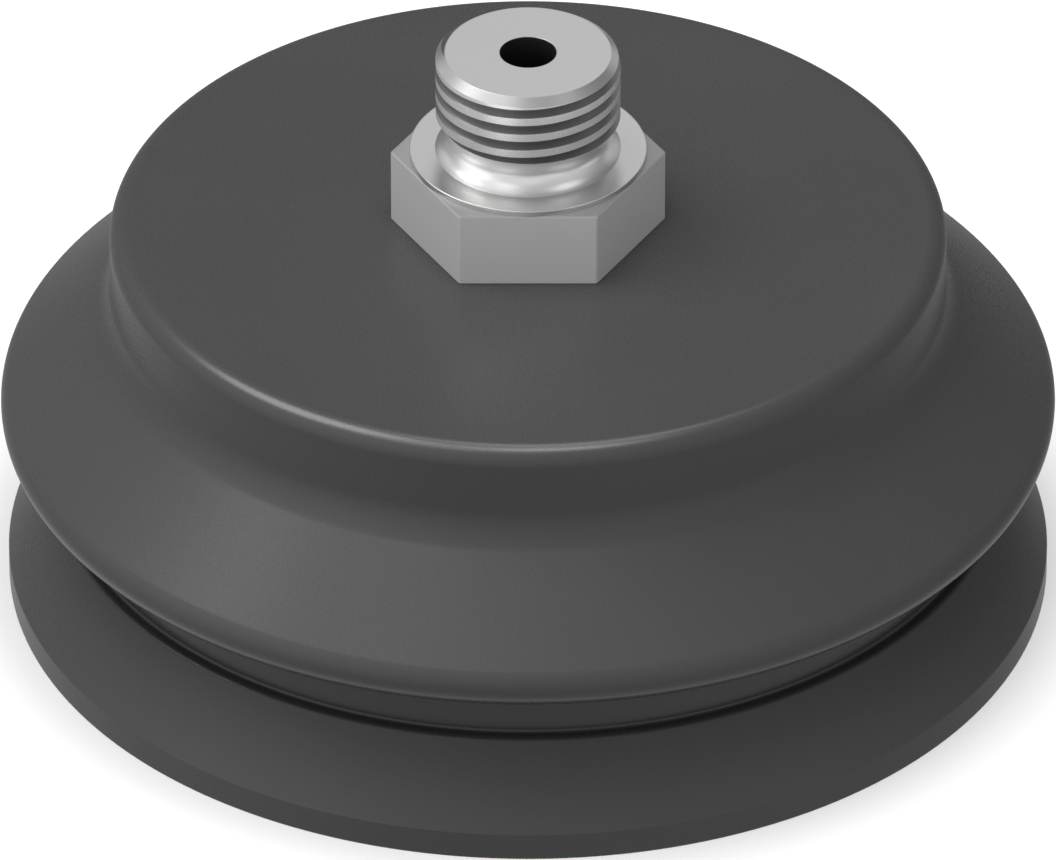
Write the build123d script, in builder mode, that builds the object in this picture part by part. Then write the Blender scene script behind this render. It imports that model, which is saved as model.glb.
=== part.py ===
from build123d import *
import os
from math import atan2, cos, degrees, pi, radians, sin, tan

os.makedirs("parts", exist_ok=True)

# Bellows suction cup with one and a half folds, in millimetres.
# The origin is the centre of the sealing plane under the lip, and +Z points up to the thread.
# The rubber cup is one moulding. An aluminium fitting stands on its roof, passes through it,
# and holds it between the fitting's hexagon and a plate and nut inside the cup.

# Sealing lip
lip_radius = 37.5
lip_band = 2.05
lip_land = 1.6

# Waist between the lip and the fold. Its depth is measured in from the lip.
waist_depth = 4.1
waist_wall = 2.2
waist_rounding = 1.5
ledge_height = 8.05
ledge_width = 0.75
ledge_rounding = 0.5
crease_rounding = 0.25

# Fold that hangs over the lip. Its lift is measured from the ledge to the centre of its nose.
fold_overhang = 0.37
fold_lift = 6.48
fold_wall = 2.0
nose_radius = 1.9
flank_angle = 43.1
underside_angle = 25.0
pocket_rounding = 1.0

# Neck and roof. The neck's depth is measured in from the lip, and its length up from the flank.
neck_depth = 7.6
neck_length = 6.64
neck_wall = 2.4
neck_rounding = 3.6
roof_thickness = 3.4
rim_rounding = 1.4
inner_rounding = 1.2

# Fitting: hexagon, collar, relief groove and the outside of a G 1/4 thread
hexagon_sides = 6
across_flats = 17.0
hexagon_height = 5.7
collar_radius = 8.45
collar_height = 0.42
spigot_length = 8.0
thread_radius = 13.157 / 2
thread_length = 5.2
end_chamfer_width = 0.66
end_chamfer_depth = 0.47
relief_foot_radius = 6.62
relief_neck_radius = 5.75
relief_top_radius = 6.15
relief_top_gap = 0.25
bore_radius = 2.0

# Stem below the hexagon, with the plate and the nut on it
stem_radius = 5.0
stem_clearance = 0.1
stem_beyond_nut = 0.8
stem_chamfer = 0.6
plate_margin = 3.5
plate_thickness = 2.0
plate_rounding = 0.7
nut_across_flats = 14.0
nut_height = 4.0
nut_chamfer_angle = 30.0


def crossing(first, second):
    """The point where two straight outlines meet. Each is a point and an angle in degrees."""
    (r1, z1), angle1 = first
    (r2, z2), angle2 = second
    across1, up1 = cos(radians(angle1)), sin(radians(angle1))
    across2, up2 = cos(radians(angle2)), sin(radians(angle2))
    reach = ((r2 - r1) * up2 - (z2 - z1) * across2) / (across1 * up2 - up1 * across2)
    return (r1 + reach * across1, z1 + reach * up1)


def from_nose(distance, normal_angle):
    """A point at a distance from the centre of the fold's nose."""
    return (
        lip_radius + fold_overhang - nose_radius + distance * cos(radians(normal_angle)),
        ledge_height + fold_lift + distance * sin(radians(normal_angle)),
    )


# Radii that follow from the lip
waist_radius = lip_radius - waist_depth
neck_radius = lip_radius - neck_depth
plate_radius = neck_radius - neck_wall - plate_margin

# Straight stretches of the cup's section, outside and inside
flank_normal = 90 - flank_angle
underside_normal = underside_angle - 90
outer_flank = (from_nose(nose_radius, flank_normal), -flank_angle)
inner_flank = (from_nose(nose_radius - fold_wall, flank_normal), -flank_angle)
outer_underside = (from_nose(nose_radius, underside_normal), underside_angle)
inner_underside = (from_nose(nose_radius - fold_wall, underside_normal), underside_angle)
outer_neck = ((neck_radius, 0), 90)
inner_neck = ((neck_radius - neck_wall, 0), 90)
outer_waist = ((waist_radius, 0), 90)
inner_waist = ((waist_radius - waist_wall, 0), 90)
neck_foot = crossing(outer_neck, outer_flank)

# Heights above the sealing plane
cup_height = neck_foot[1] + neck_length
hexagon_top = cup_height + hexagon_height
collar_top = hexagon_top + collar_height
fitting_top = collar_top + spigot_length
thread_foot = fitting_top - thread_length
roof_underside = cup_height - roof_thickness
plate_underside = roof_underside - plate_thickness
nut_underside = plate_underside - nut_height
stem_end = nut_underside - stem_beyond_nut

# Corners of the section, each with its rounding
stem_hole = (stem_radius + stem_clearance, cup_height)
rim = (neck_radius, cup_height)
nose_tip = crossing(outer_flank, outer_underside)
waist_top = crossing(outer_underside, outer_waist)
crease = (waist_radius, ledge_height)
ledge_edge = (waist_radius + ledge_width, ledge_height)
lip_shoulder = (lip_radius, lip_band)
lip_edge = (lip_radius, 0)
lip_inside = (lip_radius - lip_land, 0)
lip_angle = degrees(atan2(ledge_height - lip_band, ledge_edge[0] - lip_radius))
throat_foot = crossing((lip_inside, lip_angle), inner_waist)
throat_top = crossing(inner_waist, inner_underside)
pocket = crossing(inner_underside, inner_flank)
neck_inside = crossing(inner_flank, inner_neck)
roof_corner = (neck_radius - neck_wall, roof_underside)
stem_hole_inside = (stem_radius + stem_clearance, roof_underside)

section_corners = [
    stem_hole, rim, neck_foot, nose_tip, waist_top, crease, ledge_edge, lip_shoulder, lip_edge,
    lip_inside, throat_foot, throat_top, pocket, neck_inside, roof_corner, stem_hole_inside,
]
roundings = [
    (rim, rim_rounding),
    (neck_foot, neck_rounding),
    (nose_tip, nose_radius),
    (waist_top, waist_rounding),
    (crease, crease_rounding),
    (ledge_edge, ledge_rounding),
    (throat_foot, inner_rounding),
    (throat_top, inner_rounding),
    (pocket, pocket_rounding),
    (neck_inside, inner_rounding),
    (roof_corner, inner_rounding),
]

# Rubber cup: one moulding, open at the lip
with BuildPart() as bellows_cup:
    with BuildSketch(Plane.XZ) as cup_section:
        with BuildLine():
            Polyline(*section_corners, close=True)
        make_face()
        for corner, rounding in roundings:
            fillet(cup_section.vertices().sort_by_distance(corner)[0], rounding)
    revolve(axis=Axis.Z)

# Threaded fitting: turned and milled from one bar, bored right through
with BuildPart() as threaded_fitting:
    with BuildSketch(Plane.XY.offset(cup_height)):
        RegularPolygon(across_flats / 2, hexagon_sides, major_radius=False)
    extrude(amount=hexagon_height)
    with BuildSketch(Plane.XZ):
        with BuildLine():
            relief = ThreePointArc(
                (relief_foot_radius, collar_top),
                (relief_neck_radius, (collar_top + thread_foot) / 2),
                (relief_top_radius, thread_foot - relief_top_gap),
            )
            Polyline(
                relief @ 1,
                (thread_radius, thread_foot),
                (thread_radius, fitting_top - end_chamfer_depth),
                (thread_radius - end_chamfer_width, fitting_top),
                (0, fitting_top),
                (0, stem_end),
                (stem_radius - stem_chamfer, stem_end),
                (stem_radius, stem_end + stem_chamfer),
                (stem_radius, hexagon_top),
                (collar_radius, hexagon_top),
                (collar_radius, collar_top),
                relief @ 0,
            )
        make_face()
    revolve(axis=Axis.Z)
    with Locations((0, 0, fitting_top)):
        Hole(bore_radius)

# Plate that spreads the clamping force under the roof
with BuildPart() as support_plate:
    with BuildSketch(Plane.XY.offset(plate_underside)):
        Circle(plate_radius)
        Circle(stem_radius + stem_clearance, mode=Mode.SUBTRACT)
    extrude(amount=plate_thickness)
    plate_rim = support_plate.edges().filter_by(GeomType.CIRCLE).group_by(SortBy.RADIUS)[-1]
    fillet(plate_rim, plate_rounding)

# Nut on the stem, its corners turned off on both sides
with BuildPart() as clamp_nut:
    with BuildSketch(Plane.XY.offset(nut_underside)):
        RegularPolygon(nut_across_flats / 2, hexagon_sides, major_radius=False)
        Circle(stem_radius + stem_clearance, mode=Mode.SUBTRACT)
    extrude(amount=nut_height)
    corner_radius = nut_across_flats / 2 / cos(pi / hexagon_sides)
    corner_drop = (corner_radius - nut_across_flats / 2) * tan(radians(nut_chamfer_angle))
    with BuildSketch(Plane.XZ):
        with BuildLine():
            Polyline(
                (0, nut_underside),
                (nut_across_flats / 2, nut_underside),
                (corner_radius, nut_underside + corner_drop),
                (corner_radius, plate_underside - corner_drop),
                (nut_across_flats / 2, plate_underside),
                (0, plate_underside),
                close=True,
            )
        make_face()
    revolve(axis=Axis.Z, mode=Mode.INTERSECT)

bellows_cup.part.label = "bellows_cup"
threaded_fitting.part.label = "threaded_fitting"
support_plate.part.label = "support_plate"
clamp_nut.part.label = "clamp_nut"
export_step(bellows_cup.part, "parts/bellows_cup.step")
export_step(threaded_fitting.part, "parts/threaded_fitting.step")
export_step(support_plate.part, "parts/support_plate.step")
export_step(clamp_nut.part, "parts/clamp_nut.step")
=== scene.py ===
from math import atan2, ceil, cos, degrees, hypot, pi, radians, remainder, sin, tan

import bpy
import numpy as np
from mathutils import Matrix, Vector


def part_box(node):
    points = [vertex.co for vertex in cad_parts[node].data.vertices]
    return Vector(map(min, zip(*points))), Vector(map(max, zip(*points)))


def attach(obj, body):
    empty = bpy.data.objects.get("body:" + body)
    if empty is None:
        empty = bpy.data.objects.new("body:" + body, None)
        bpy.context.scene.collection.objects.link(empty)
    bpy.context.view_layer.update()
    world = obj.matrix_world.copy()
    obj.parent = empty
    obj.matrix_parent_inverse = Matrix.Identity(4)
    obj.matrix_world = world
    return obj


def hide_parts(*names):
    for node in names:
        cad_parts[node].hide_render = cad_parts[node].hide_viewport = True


# Bellows suction cup: its looks, in metres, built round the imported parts.
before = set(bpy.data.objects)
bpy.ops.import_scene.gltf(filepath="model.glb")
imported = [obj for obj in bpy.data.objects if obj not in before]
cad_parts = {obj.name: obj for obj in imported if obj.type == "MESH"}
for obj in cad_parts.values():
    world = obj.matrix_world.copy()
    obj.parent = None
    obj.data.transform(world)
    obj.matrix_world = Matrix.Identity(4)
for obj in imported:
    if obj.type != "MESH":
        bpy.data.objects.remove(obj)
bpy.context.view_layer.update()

MM = 0.001

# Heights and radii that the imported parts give
cup_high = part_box("bellows_cup")[1]
fitting_low, fitting_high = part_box("threaded_fitting")
plate_low, plate_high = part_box("support_plate")
nut_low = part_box("clamp_nut")[0]
cup_height = cup_high.z
fitting_top = fitting_high.z
stem_end = fitting_low.z
plate_radius = plate_high.y
plate_top = plate_high.z
plate_underside = plate_low.z
nut_underside = nut_low.z

# Rubber cup. The depths of its waist and neck are measured in from the lip.
fold_radius = cup_high.x
fold_overhang = 0.37 * MM
lip_radius = fold_radius - fold_overhang
lip_band = 2.05 * MM
lip_land = 1.6 * MM
lip_edge_rounding = 0.12 * MM
waist_depth = 4.1 * MM
waist_radius = lip_radius - waist_depth
waist_wall = 2.2 * MM
waist_rounding = 1.5 * MM
ledge_height = 8.05 * MM
ledge_width = 0.75 * MM
ledge_rounding = 0.5 * MM
crease_rounding = 0.25 * MM
fold_height = 14.53 * MM
fold_wall = 2.0 * MM
nose_radius = 1.9 * MM
flank_angle = 43.1
underside_angle = 25.0
pocket_rounding = 1.0 * MM
neck_depth = 7.6 * MM
neck_radius = lip_radius - neck_depth
neck_wall = 2.4 * MM
neck_rounding = 3.6 * MM
roof_underside = plate_top
rim_rounding = 1.4 * MM
inner_rounding = 1.2 * MM
stem_hole_radius = 5.1 * MM

# Threaded fitting
hexagon_sides = 6
across_flats = 17.0 * MM
hexagon_height = 5.7 * MM
hexagon_bevel = 0.09 * MM
collar_radius = 8.45 * MM
collar_height = 0.42 * MM
fine_bevel = 0.06 * MM
thread_radius = 13.157 / 2 * MM
thread_length = 5.2 * MM
end_chamfer_width = 0.66 * MM
end_chamfer_depth = 0.47 * MM
relief_foot_radius = 6.62 * MM
relief_neck_radius = 5.75 * MM
relief_top_radius = 6.15 * MM
relief_top_gap = 0.25 * MM
bore_radius = 2.0 * MM
stem_radius = 5.0 * MM
stem_chamfer = 0.6 * MM
hexagon_top = cup_height + hexagon_height
collar_top = hexagon_top + collar_height
thread_foot = fitting_top - thread_length
relief_top = thread_foot - relief_top_gap

# Grooves of the G 1/4 thread. The front height is that of one groove's middle at the front. The
# grooves run from low to high, past both ends of the thread.
spigot_groove = {
    "radius": thread_radius,
    "pitch": 1.337 * MM,
    "depth": 0.6 * MM,
    "root_width": 0.12 * MM,
    "flank_angle": 27.5,
    "front_height": 39.897 * MM,
    "low": relief_top - 0.95 * MM,
    "high": fitting_top + 1.0 * MM,
}

# Grooves of the stem's fine thread, M10 x 1
stem_groove = {
    "radius": stem_radius,
    "pitch": 1.0 * MM,
    "depth": 0.56 * MM,
    "root_width": 0.12 * MM,
    "flank_angle": 30.0,
    "front_height": stem_end + 0.5 * MM,
    "low": stem_end - 0.8 * MM,
    "high": plate_underside + 0.5 * MM,
}

# Plate and nut inside the cup. The nut's blank has a smaller hole, which is bored out.
plate_rounding = 0.7 * MM
nut_across_flats = 14.0 * MM
nut_hole_radius = 5.05 * MM
nut_boring = 0.5 * MM
nut_countersink = 0.45 * MM
nut_chamfer_angle = 30.0
nut_bevel = 0.06 * MM

# Camera of the photograph
camera_distance = 1.26133
camera_elevation = radians(33.912)
camera_lens = 597.44
camera_sensor_width = 36.0
aim_height = 11.275 * MM

# Studio light: a level from all round, and glows that fade away from their middle. Azimuth 0 is
# where the camera stands and 90 is to its right.
studio_level = 0.01
studio_glows = [
    {"azimuth": -60, "elevation": 17, "tightness": 1.9, "strength": 1.08},
    {"azimuth": 51, "elevation": -7, "tightness": 2.0, "strength": 0.77},
    {"azimuth": 202, "elevation": -75, "tightness": 3.9, "strength": 1.04},
]

# Round soft lamps far away, each set for one piece only: a wash that the rubber doesn't mirror,
# strong lamps that it does, weak ones for the bright metal, and one that turns the floor white
# but for a soft shade at the foot
rubber_washes = [
    {"azimuth": 0, "elevation": 80, "width": 40, "strength": 1.8},
]
rubber_lamps = [
    {"azimuth": 38, "elevation": 82, "width": 20, "strength": 0.9},
    {"azimuth": 172, "elevation": 70, "width": 22, "strength": 0.55},
    {"azimuth": -55, "elevation": 72, "width": 30, "strength": 0.6},
    {"azimuth": -102, "elevation": 59, "width": 32.4, "strength": 2.2},
]
metal_lamps = [
    {"azimuth": -32, "elevation": -34, "width": 34, "strength": 0.60},
    {"azimuth": -150, "elevation": -34, "width": 50, "strength": 0.45},
    {"azimuth": -90, "elevation": -34, "width": 50, "strength": 0.50},
    {"azimuth": -30, "elevation": -34, "width": 50, "strength": 0.33},
    {"azimuth": 30, "elevation": -34, "width": 50, "strength": 0.31},
    {"azimuth": 90, "elevation": -34, "width": 50, "strength": 0.36},
    {"azimuth": 150, "elevation": -34, "width": 50, "strength": 0.55},
    {"azimuth": -72, "elevation": 5, "width": 50, "strength": 0.34},
    {"azimuth": 0, "elevation": 5, "width": 40, "strength": 0.08},
    {"azimuth": 135, "elevation": 5, "width": 40, "strength": 0.15},
    {"azimuth": -128, "elevation": 14, "width": 30, "strength": 0.08},
    {"azimuth": -90, "elevation": 38, "width": 26, "strength": 0.36},
    {"azimuth": -30, "elevation": 38, "width": 26, "strength": 0.10},
    {"azimuth": 165, "elevation": 38, "width": 40, "strength": 0.26},
    {"azimuth": -135, "elevation": 62, "width": 26, "strength": 0.70},
    {"azimuth": -45, "elevation": 62, "width": 26, "strength": 0.09},
    {"azimuth": 60, "elevation": 48, "width": 30, "strength": 0.19},
]
floor_lamps = [
    {"azimuth": 0, "elevation": 90, "width": 70, "strength": 3.0},
]

# Floor
floor_reach = 3.0
floor_grey = 0.92
floor_roughness = 0.9

# Rubber's finish: a dark grey that clouds a little, with a fine grain
rubber_colour = (0.0330, 0.0329, 0.0331)
rubber_tones = (0.96, 1.04)
rubber_roughness = (0.24, 0.30)
rubber_specular = 0.33
cloud_scale = 60
rubber_grain_scale = 9000
rubber_grain_depth = 0.002 * MM
rubber_grain_strength = 0.5

# Metals' finish: satin, with fine turning lines
metal_blue_share = 0.995
metal_roughness_stray = 0.015
metal_grain_scale = 14000
turning_line_depth = 0.001 * MM
turning_line_strength = 0.3

# Values between which most of a noise lies
noise_low = 0.3
noise_high = 0.7

# Steps of the turned and moulded surfaces
cup_steps = 384
metal_steps = 288
groove_steps = 240
relief_steps = 14
hole_steps = 48
arc_step = radians(6)
straight_turn = radians(0.1)
soft_angle = radians(20)
least_length = 1e-12


def crossing(first, second):
    """The point where two straight outlines meet. Each is a point and an angle in degrees."""
    (r1, z1), angle1 = first
    (r2, z2), angle2 = second
    across1, up1 = cos(radians(angle1)), sin(radians(angle1))
    across2, up2 = cos(radians(angle2)), sin(radians(angle2))
    reach = ((r2 - r1) * up2 - (z2 - z1) * across2) / (across1 * up2 - up1 * across2)
    return (r1 + reach * across1, z1 + reach * up1)


def from_nose(distance, normal_angle):
    """A point at a distance from the centre of the fold's nose."""
    return (
        fold_radius - nose_radius + distance * cos(radians(normal_angle)),
        fold_height + distance * sin(radians(normal_angle)),
    )


def rounded_outline(corners):
    """Points of a closed outline. Each corner is a point and the radius that rounds it."""
    points = []
    for index, (corner, radius) in enumerate(corners):
        before = corners[index - 1][0]
        after = corners[(index + 1) % len(corners)][0]
        heading = atan2(corner[1] - before[1], corner[0] - before[0])
        leaving = atan2(after[1] - corner[1], after[0] - corner[0])
        turn = remainder(leaving - heading, 2 * pi)
        if radius == 0 or abs(turn) < straight_turn:
            points.append(corner)
            continue
        side = 1 if turn > 0 else -1
        run_in = radius * tan(abs(turn) / 2)
        start = (corner[0] - run_in * cos(heading), corner[1] - run_in * sin(heading))
        centre = (start[0] - side * radius * sin(heading), start[1] + side * radius * cos(heading))
        steps = max(2, ceil(abs(turn) / arc_step))
        for step in range(steps + 1):
            along = heading + turn * step / steps
            points.append((
                centre[0] + side * radius * sin(along),
                centre[1] - side * radius * cos(along),
            ))
    return points


def arc_through(start, middle, end, steps):
    """Points of the arc from start through middle to end, without the two ends."""
    (ax, ay), (bx, by), (cx, cy) = start, middle, end
    spread = 2 * (ax * (by - cy) + bx * (cy - ay) + cx * (ay - by))
    a2, b2, c2 = ax * ax + ay * ay, bx * bx + by * by, cx * cx + cy * cy
    centre_x = (a2 * (by - cy) + b2 * (cy - ay) + c2 * (ay - by)) / spread
    centre_y = (a2 * (cx - bx) + b2 * (ax - cx) + c2 * (bx - ax)) / spread
    radius = hypot(ax - centre_x, ay - centre_y)
    first = atan2(ay - centre_y, ax - centre_x)
    sweep = remainder(atan2(cy - centre_y, cx - centre_x) - first, 2 * pi)
    turns = [first + sweep * step / steps for step in range(1, steps)]
    return [(centre_x + radius * cos(turn), centre_y + radius * sin(turn)) for turn in turns]


def new_mesh(name, vertices, faces):
    mesh = bpy.data.meshes.new(name)
    mesh.from_pydata(vertices, [], faces)
    mesh.validate()
    return mesh


def new_piece(name, mesh, materials):
    piece = bpy.data.objects.new(name, mesh)
    bpy.context.scene.collection.objects.link(piece)
    for material in materials:
        mesh.materials.append(material)
    return piece


def band(first, second, count):
    """Faces between two closed rows of count points each. A row is named by its first point."""
    faces = []
    for index in range(count):
        following = (index + 1) % count
        faces.append((first + index, first + following, second + following, second + index))
    return faces


def turned_mesh(name, outline, steps):
    """A closed outline, clockwise in radius and height, turned once round the axis."""
    count = len(outline)
    vertices = []
    faces = []
    for step in range(steps):
        turn = 2 * pi * step / steps
        vertices += [(radius * cos(turn), radius * sin(turn), height) for radius, height in outline]
        faces += band(step * count, (step + 1) % steps * count, count)
    return new_mesh(name, vertices, faces)


def hexagon_mesh(name, apothem, hole_radius, low, high, bevel):
    """A hexagonal prism with flats to the front and back, a round hole and fine bevels."""
    side_turn = 2 * pi / hexagon_sides
    reach = apothem / cos(side_turn / 2)
    corners = []
    for side in range(hexagon_sides):
        turn = side_turn * side
        corner = Vector((reach * cos(turn), reach * sin(turn)))
        for heading in (turn - 2 * side_turn, turn + 2 * side_turn):
            corners.append(corner + Vector((cos(heading), sin(heading))) * bevel)
    inset = 1 - bevel / apothem
    rings = [
        [(point.x * inset, point.y * inset, low) for point in corners],
        [(point.x, point.y, low + bevel) for point in corners],
        [(point.x, point.y, high - bevel) for point in corners],
        [(point.x * inset, point.y * inset, high) for point in corners],
    ]
    turns = [2 * pi * step / hole_steps for step in range(hole_steps)]
    holes = [
        [(hole_radius * cos(turn), hole_radius * sin(turn), height) for turn in turns]
        for height in (low, high)
    ]
    vertices = [point for row in rings + holes for point in row]
    count = len(corners)
    top_ring = (len(rings) - 1) * count
    hole_low = top_ring + count
    hole_high = hole_low + hole_steps
    faces = band(hole_high, hole_low, hole_steps)
    for level in range(len(rings) - 1):
        faces += band(level * count, (level + 1) * count, count)
    share = hole_steps // count
    for index in range(count):
        following = (index + 1) % count
        near = [(index * share - share // 2 + step) % hole_steps for step in range(share + 1)]
        near_back = [hole_high + step for step in reversed(near)]
        faces.append((top_ring + index, top_ring + following, *near_back))
        faces.append((following, index, *(hole_low + step for step in near)))
    return new_mesh(name, vertices, faces)


def groove_mesh(name, radius, pitch, depth, root_width, flank_angle, front_height, low, high):
    """The helical cutter of a right-hand thread: a groove's section carried up round the axis."""
    past = 0.4 * MM
    opening = root_width / 2 + (depth + past) * tan(radians(flank_angle))
    section = [
        (radius - depth, -root_width / 2),
        (radius - depth, root_width / 2),
        (radius + past, opening),
        (radius + past, -opening),
    ]
    first = (low - front_height) / pitch
    last = (high - front_height) / pitch
    steps = ceil((last - first) * groove_steps)
    vertices = []
    for step in range(steps + 1):
        turns = first + (last - first) * step / steps
        turn = 2 * pi * turns - pi / 2
        height = front_height + pitch * turns
        vertices += [(reach * cos(turn), reach * sin(turn), height + rise) for reach, rise in section]
    count = len(section)
    faces = [tuple(reversed(range(count))), tuple(steps * count + index for index in range(count))]
    for step in range(steps):
        faces += band(step * count, (step + 1) * count, count)
    return new_mesh(name, vertices, faces)


def combine(piece, other, operation):
    """Joins, cuts or trims a piece with another mesh, which is used up."""
    step = piece.modifiers.new(operation, "BOOLEAN")
    step.operation = operation
    step.object = other
    step.solver = "EXACT"
    step.material_mode = "INDEX"
    bpy.context.view_layer.update()
    seen = piece.evaluated_get(bpy.context.evaluated_depsgraph_get())
    made = bpy.data.meshes.new_from_object(seen)
    piece.modifiers.remove(step)
    old = piece.data
    made.name = old.name
    piece.data = made
    bpy.data.meshes.remove(old)
    bpy.data.objects.remove(other)


def soften(mesh, flat_slots=()):
    """Gives each corner the normal of the turned surface there. Edges over soft_angle stay sharp.
    Faces in flat_slots are plane, and keep their own normal."""
    mesh.shade_smooth()
    corner_normals = np.zeros((len(mesh.loops), 3))
    corner_vertex = np.zeros(len(mesh.loops), int)
    corner_weight = np.zeros(len(mesh.loops))
    for face in mesh.polygons:
        normal = face.normal
        centre = face.center
        turn = atan2(centre.y, centre.x)
        outward = normal.x * cos(turn) + normal.y * sin(turn)
        sideways = normal.y * cos(turn) - normal.x * sin(turn)
        for corner in face.loop_indices:
            vertex = mesh.loops[corner].vertex_index
            place = mesh.vertices[vertex].co
            there = atan2(place.y, place.x)
            if face.material_index in flat_slots:
                corner_normals[corner] = normal
            else:
                corner_normals[corner] = (
                    outward * cos(there) - sideways * sin(there),
                    outward * sin(there) + sideways * cos(there),
                    normal.z,
                )
            corner_vertex[corner] = vertex
            corner_weight[corner] = face.area
    around = [[] for _ in mesh.vertices]
    for corner, vertex in enumerate(corner_vertex):
        around[vertex].append(corner)
    limit = cos(soft_angle)
    smooth = np.array(corner_normals)
    for corners in around:
        if len(corners) > 1:
            block = corner_normals[corners]
            near = (block @ block.T) > limit
            smooth[corners] = (near * corner_weight[corners]) @ block
    length = np.linalg.norm(smooth, axis=1)
    smooth /= np.maximum(length, least_length)[:, None]
    smooth[length < least_length] = corner_normals[length < least_length]
    mesh.normals_split_custom_set(smooth.tolist())


def cup_outline():
    """The rubber cup's section, clockwise from the stem's hole to the lip and back inside."""
    flank_normal = 90 - flank_angle
    underside_normal = underside_angle - 90
    outer_flank = (from_nose(nose_radius, flank_normal), -flank_angle)
    inner_flank = (from_nose(nose_radius - fold_wall, flank_normal), -flank_angle)
    outer_underside = (from_nose(nose_radius, underside_normal), underside_angle)
    inner_underside = (from_nose(nose_radius - fold_wall, underside_normal), underside_angle)
    outer_neck = ((neck_radius, 0), 90)
    inner_neck = ((neck_radius - neck_wall, 0), 90)
    outer_waist = ((waist_radius, 0), 90)
    inner_waist = ((waist_radius - waist_wall, 0), 90)
    lip_inside = (lip_radius - lip_land, 0)
    ledge_edge = (waist_radius + ledge_width, ledge_height)
    lip_angle = degrees(atan2(ledge_height - lip_band, ledge_edge[0] - lip_radius))
    return rounded_outline([
        ((stem_hole_radius, cup_height), 0),
        ((neck_radius, cup_height), rim_rounding),
        (crossing(outer_neck, outer_flank), neck_rounding),
        (crossing(outer_flank, outer_underside), nose_radius),
        (crossing(outer_underside, outer_waist), waist_rounding),
        ((waist_radius, ledge_height), crease_rounding),
        (ledge_edge, ledge_rounding),
        ((lip_radius, lip_band), lip_edge_rounding),
        ((lip_radius, 0), lip_edge_rounding / 2),
        (lip_inside, lip_edge_rounding / 2),
        (crossing((lip_inside, lip_angle), inner_waist), inner_rounding),
        (crossing(inner_waist, inner_underside), inner_rounding),
        (crossing(inner_underside, inner_flank), pocket_rounding),
        (crossing(inner_flank, inner_neck), inner_rounding),
        ((neck_radius - neck_wall, roof_underside), inner_rounding),
        ((stem_hole_radius, roof_underside), 0),
    ])


def fitting_outline():
    """The fitting's turned section with its bore, clockwise from the bore's mouth."""
    waist = arc_through(
        (relief_top_radius, relief_top),
        (relief_neck_radius, (collar_top + thread_foot) / 2),
        (relief_foot_radius, collar_top),
        relief_steps,
    )
    return rounded_outline([
        ((bore_radius, fitting_top), fine_bevel),
        ((thread_radius - end_chamfer_width, fitting_top), fine_bevel),
        ((thread_radius, fitting_top - end_chamfer_depth), 0),
        ((thread_radius, thread_foot), 0),
        ((relief_top_radius, relief_top), 0),
        *((point, 0) for point in waist),
        ((relief_foot_radius, collar_top), 0),
        ((collar_radius, collar_top), fine_bevel),
        ((collar_radius, hexagon_top - fine_bevel), 0),
        ((stem_radius, hexagon_top - fine_bevel), 0),
        ((stem_radius, stem_end + stem_chamfer), 0),
        ((stem_radius - stem_chamfer, stem_end), 0),
        ((bore_radius, stem_end), fine_bevel),
    ])


def plate_outline():
    return rounded_outline([
        ((stem_hole_radius, plate_top), 0),
        ((plate_radius, plate_top), plate_rounding),
        ((plate_radius, plate_underside), plate_rounding),
        ((stem_hole_radius, plate_underside), fine_bevel),
    ])


class Nodes:
    """A node tree, with a short way to add nodes to it."""

    def __init__(self, tree):
        self.tree = tree

    def add(self, kind, links=(), **settings):
        node = self.tree.nodes.new(kind)
        for name, value in settings.items():
            setattr(node, name, value)
        for target, source in dict(links).items():
            if isinstance(source, bpy.types.NodeSocket):
                self.tree.links.new(source, node.inputs[target])
            else:
                node.inputs[target].default_value = source
        return node


class Shader(Nodes):
    """A material and its node tree, with short ways to shape its surface."""

    def __init__(self, name):
        self.material = bpy.data.materials.new(name)
        self.material.use_nodes = True
        super().__init__(self.material.node_tree)
        self.surface = self.tree.nodes["Principled BSDF"]
        self.place = self.add("ShaderNodeTexCoord").outputs["Object"]

    def set(self, **values):
        for name, value in values.items():
            socket = self.surface.inputs[name.replace("_", " ")]
            if isinstance(value, bpy.types.NodeSocket):
                self.tree.links.new(value, socket)
            else:
                socket.default_value = value

    def noise(self, scale, detail=2.0, roughness=0.5, place=None):
        links = {
            "Vector": place or self.place,
            "Scale": scale,
            "Detail": detail,
            "Roughness": roughness,
        }
        return self.add("ShaderNodeTexNoise", links).outputs["Fac"]

    def range(self, noise, low, high):
        """A noise stretched so that most of it lies from low to high."""
        links = {
            "Value": noise,
            "From Min": noise_low,
            "From Max": noise_high,
            "To Min": low,
            "To Max": high,
        }
        return self.add("ShaderNodeMapRange", links).outputs["Result"]

    def bump(self, height, depth, strength):
        links = {"Height": height, "Distance": depth, "Strength": strength}
        return self.add("ShaderNodeBump", links).outputs["Normal"]


def rubber_material():
    shader = Shader("moulded_rubber")
    grain = shader.noise(rubber_grain_scale, detail=3.0, roughness=0.6)
    cloud = shader.noise(cloud_scale, detail=3.0)
    links = {0: rubber_colour, "Scale": shader.range(cloud, *rubber_tones)}
    colour = shader.add("ShaderNodeVectorMath", links, operation="SCALE").outputs["Vector"]
    shader.set(
        Base_Color=colour,
        Roughness=shader.range(grain, *rubber_roughness),
        Specular_IOR_Level=rubber_specular,
        Normal=shader.bump(grain, rubber_grain_depth, rubber_grain_strength),
    )
    return shader.material


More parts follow.
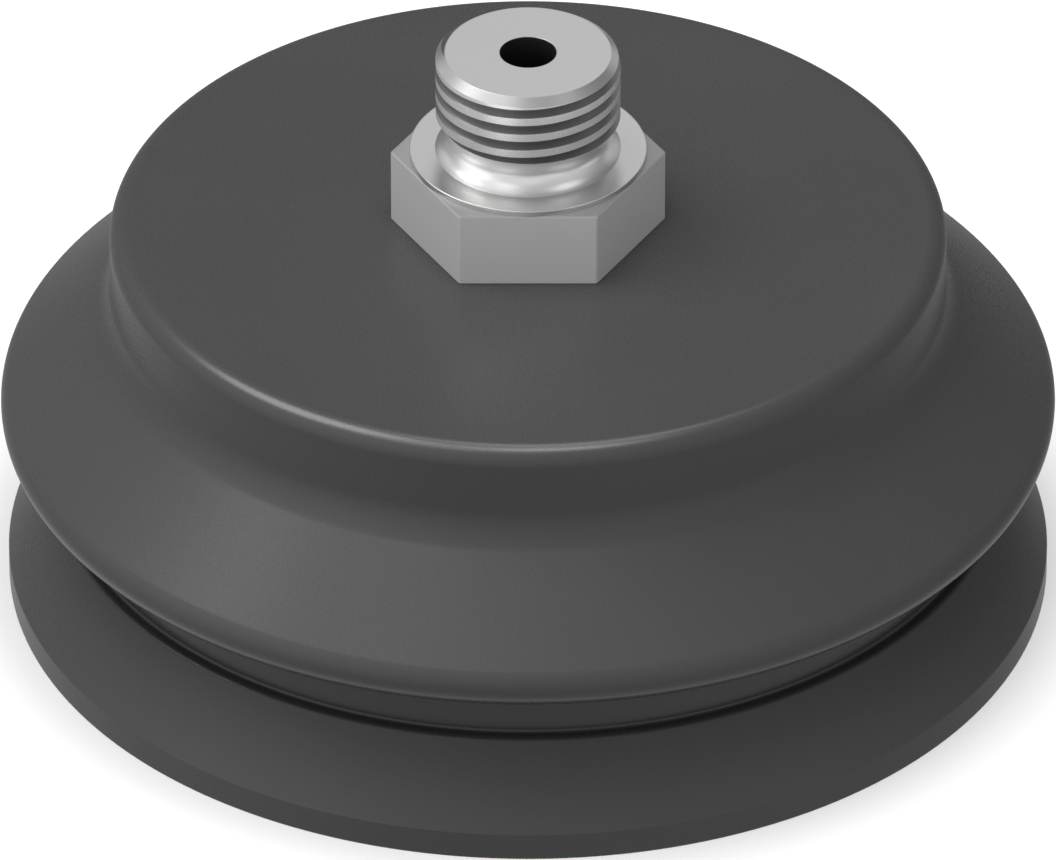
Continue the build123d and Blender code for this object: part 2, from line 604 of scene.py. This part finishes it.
def metal_material(name, grey, roughness, ring_scale, metallic=1.0):
    """A satin metal with turning lines, which follow the radius and the height."""
    shader = Shader(name)
    grain = shader.noise(metal_grain_scale)
    place = shader.add("ShaderNodeSeparateXYZ", {"Vector": shader.place}).outputs
    links = {"X": place["X"], "Y": place["Y"]}
    across = shader.add("ShaderNodeCombineXYZ", links).outputs["Vector"]
    radius = shader.add("ShaderNodeVectorMath", {0: across}, operation="LENGTH").outputs["Value"]
    links = {"X": radius, "Z": place["Z"]}
    rings = shader.add("ShaderNodeCombineXYZ", links).outputs["Vector"]
    lines = shader.noise(ring_scale, place=rings)
    smoothest, roughest = roughness - metal_roughness_stray, roughness + metal_roughness_stray
    shader.set(
        Base_Color=(grey, grey, grey * metal_blue_share, 1),
        Metallic=metallic,
        Roughness=shader.range(grain, smoothest, roughest),
        Normal=shader.bump(lines, turning_line_depth, turning_line_strength),
    )
    return shader.material


rubber = rubber_material()
turned_aluminium = metal_material(
    "satin_turned_aluminium", grey=0.66, roughness=0.30, ring_scale=9000
)
milled_aluminium = metal_material(
    "satin_milled_aluminium", grey=0.36, roughness=0.34, ring_scale=5000, metallic=0.15
)
# The bore's near-black grey is painted shade: the hole's wall is the same aluminium, darkened for the
# shade inside it
bore_shade_aluminium = metal_material("drilled_bore", grey=0.08, roughness=0.50, ring_scale=9000)
# The grooves' darker grey is painted shade: the same turned aluminium, darkened for the shade deep in
# the thread's grooves
groove_shade_aluminium = metal_material("thread_groove", grey=0.30, roughness=0.32, ring_scale=9000)
crest_aluminium = metal_material(
    "thread_crest", grey=0.62, roughness=0.26, ring_scale=9000, metallic=0.65
)
plate_aluminium = metal_material("rolled_aluminium", grey=0.72, roughness=0.40, ring_scale=4000)
nut_steel = metal_material("zinc_plated_steel", grey=0.60, roughness=0.32, ring_scale=6000)


def make_bellows():
    mesh = turned_mesh("rubber_bellows", cup_outline(), cup_steps)
    soften(mesh)
    piece = new_piece("rubber_bellows", mesh, [rubber])
    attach(piece, "root")
    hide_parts("bellows_cup")


def set_slot(mesh, slot):
    """Gives all faces of a mesh the material in one slot."""
    for face in mesh.polygons:
        face.material_index = slot


def make_fitting():
    metals = [
        turned_aluminium,
        milled_aluminium,
        bore_shade_aluminium,
        groove_shade_aluminium,
        crest_aluminium,
    ]
    milled, bore_shade_slot, groove_shade_slot, crested = range(1, len(metals))
    mesh = turned_mesh("spigot_and_hexagon", fitting_outline(), metal_steps)
    piece = new_piece("spigot_and_hexagon", mesh, metals)
    for face in mesh.polygons:
        # Faces in the bore get its painted shade
        if hypot(face.center.x, face.center.y) < bore_radius + fine_bevel / 2:
            face.material_index = bore_shade_slot
        elif thread_foot < face.center.z < fitting_top - end_chamfer_depth:
            face.material_index = crested
        # The stem's end inside the cup gets the same painted shade
        elif face.center.z < plate_underside:
            face.material_index = groove_shade_slot
    for number, groove in enumerate((spigot_groove, stem_groove)):
        cutter = groove_mesh(f"groove_{number}", **groove)
        # Faces that the grooves cut take their painted shade
        set_slot(cutter, groove_shade_slot)
        combine(piece, new_piece(f"groove_{number}", cutter, metals), "DIFFERENCE")
    hexagon = hexagon_mesh(
        "hexagon",
        across_flats / 2,
        (bore_radius + stem_radius) / 2,
        cup_height,
        hexagon_top,
        hexagon_bevel,
    )
    set_slot(hexagon, milled)
    combine(piece, new_piece("hexagon", hexagon, metals), "UNION")
    soften(piece.data, flat_slots=[milled])
    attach(piece, "root")
    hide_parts("threaded_fitting")


def make_plate():
    mesh = turned_mesh("roof_plate", plate_outline(), metal_steps)
    soften(mesh)
    piece = new_piece("roof_plate", mesh, [plate_aluminium])
    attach(piece, "root")
    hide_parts("support_plate")


def make_nut():
    """A hexagon turned on both sides. Its turned faces are in the first slot and its flats in
    the second."""
    metals = [nut_steel, nut_steel]
    flats = 1
    corner_radius = nut_across_flats / 2 / cos(pi / hexagon_sides)
    drop = (corner_radius - nut_across_flats / 2) * tan(radians(nut_chamfer_angle))
    mesh = hexagon_mesh(
        "thin_nut",
        nut_across_flats / 2,
        nut_hole_radius - nut_boring,
        nut_underside,
        plate_underside,
        nut_bevel,
    )
    piece = new_piece("thin_nut", mesh, metals)
    set_slot(mesh, flats)
    trim = turned_mesh("nut_turning", [
        (nut_hole_radius + nut_countersink, plate_underside),
        (nut_across_flats / 2, plate_underside),
        (corner_radius, plate_underside - drop),
        (corner_radius, nut_underside + drop),
        (nut_across_flats / 2, nut_underside),
        (nut_hole_radius + nut_countersink, nut_underside),
        (nut_hole_radius, nut_underside + nut_countersink),
        (nut_hole_radius, plate_underside - nut_countersink),
    ], metal_steps)
    combine(piece, new_piece("nut_turning", trim, metals), "INTERSECT")
    soften(piece.data, flat_slots=[flats])
    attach(piece, "root")
    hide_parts("clamp_nut")


def make_floor():
    """A pale floor that is clear when it is seen from below."""
    corners = [
        (-floor_reach, -floor_reach, 0),
        (floor_reach, -floor_reach, 0),
        (floor_reach, floor_reach, 0),
        (-floor_reach, floor_reach, 0),
    ]
    mesh = new_mesh("floor", corners, [tuple(range(len(corners)))])
    shader = Shader("pale_floor")
    shader.set(
        Base_Color=(floor_grey, floor_grey, floor_grey, 1),
        Roughness=floor_roughness,
        Specular_IOR_Level=0.0,
    )
    from_below = shader.add("ShaderNodeNewGeometry").outputs["Backfacing"]
    clear = shader.add("ShaderNodeBsdfTransparent").outputs["BSDF"]
    links = {0: from_below, 1: shader.surface.outputs["BSDF"], 2: clear}
    seen = shader.add("ShaderNodeMixShader", links).outputs["Shader"]
    shader.tree.links.new(seen, shader.tree.nodes["Material Output"].inputs["Surface"])
    floor = new_piece("floor", mesh, [shader.material])
    floor.visible_diffuse = False
    floor.visible_glossy = False
    floor.visible_shadow = False


def toward(azimuth, elevation):
    """The direction to an azimuth and an elevation in degrees."""
    turn, rise = radians(azimuth), radians(elevation)
    return Vector((sin(turn) * cos(rise), -cos(turn) * cos(rise), sin(rise)))


def make_lamps(name, lamps, lit, others_shade=True, reflected=True):
    """Round soft lamps that light one piece only. Other pieces may shade them or not, and the
    piece may mirror them or not."""
    flagged = bpy.data.collections.new(name)
    flagged.objects.link(bpy.data.objects[lit])
    for number, lamp in enumerate(lamps):
        light = bpy.data.lights.new(f"{name}_{number}", "SUN")
        light.energy = lamp["strength"]
        light.angle = radians(lamp["width"])
        holder = bpy.data.objects.new(light.name, light)
        bpy.context.scene.collection.objects.link(holder)
        shining = -toward(lamp["azimuth"], lamp["elevation"])
        holder.rotation_euler = shining.to_track_quat("-Z", "Y").to_euler()
        holder.light_linking.receiver_collection = flagged
        holder.visible_glossy = reflected
        if not others_shade:
            holder.light_linking.blocker_collection = flagged


def make_world():
    """Soft light from all round the object. The camera itself sees plain white beyond the floor."""
    world = bpy.data.worlds.new("studio")
    bpy.context.scene.world = world
    world.use_nodes = True
    nodes = Nodes(world.node_tree)
    direction = nodes.add("ShaderNodeTexCoord").outputs["Generated"]
    level = studio_level
    for glow in studio_glows:
        links = {0: direction, 1: toward(glow["azimuth"], glow["elevation"])}
        along = nodes.add("ShaderNodeVectorMath", links, operation="DOT_PRODUCT").outputs["Value"]
        links = {0: along, 1: glow["tightness"], 2: -glow["tightness"]}
        fade = nodes.add("ShaderNodeMath", links, operation="MULTIPLY_ADD").outputs["Value"]
        fall = nodes.add("ShaderNodeMath", {0: fade}, operation="EXPONENT").outputs["Value"]
        links = {0: fall, 1: glow["strength"], 2: level}
        level = nodes.add("ShaderNodeMath", links, operation="MULTIPLY_ADD").outputs["Value"]
    light = nodes.tree.nodes["Background"]
    light.inputs["Color"].default_value = (1, 1, 1, 1)
    nodes.tree.links.new(level, light.inputs["Strength"])
    to_camera = nodes.add("ShaderNodeLightPath").outputs["Is Camera Ray"]
    links = {"Color": (1, 1, 1, 1), "Strength": 1.0}
    white = nodes.add("ShaderNodeBackground", links).outputs["Background"]
    links = {0: to_camera, 1: light.outputs["Background"], 2: white}
    both = nodes.add("ShaderNodeMixShader", links).outputs["Shader"]
    nodes.tree.links.new(both, nodes.tree.nodes["World Output"].inputs["Surface"])


def make_camera():
    camera = bpy.data.cameras.new("camera")
    camera.lens = camera_lens
    camera.sensor_width = camera_sensor_width
    holder = bpy.data.objects.new("camera", camera)
    bpy.context.scene.collection.objects.link(holder)
    aim = Vector((0, 0, aim_height))
    back = Vector((0, -cos(camera_elevation), sin(camera_elevation)))
    holder.location = aim + back * camera_distance
    holder.rotation_euler = (-back).to_track_quat("-Z", "Y").to_euler()
    bpy.context.scene.camera = holder


make_bellows()
make_fitting()
make_plate()
make_nut()
make_floor()
make_world()
make_lamps("wash_on_rubber", rubber_washes, "rubber_bellows", reflected=False)
make_lamps("over_rubber", rubber_lamps, "rubber_bellows")
make_lamps("over_metal", metal_lamps, "spigot_and_hexagon", others_shade=False)
make_lamps("over_floor", floor_lamps, "floor")
make_camera()
bpy.context.scene.view_settings.view_transform = "Standard"
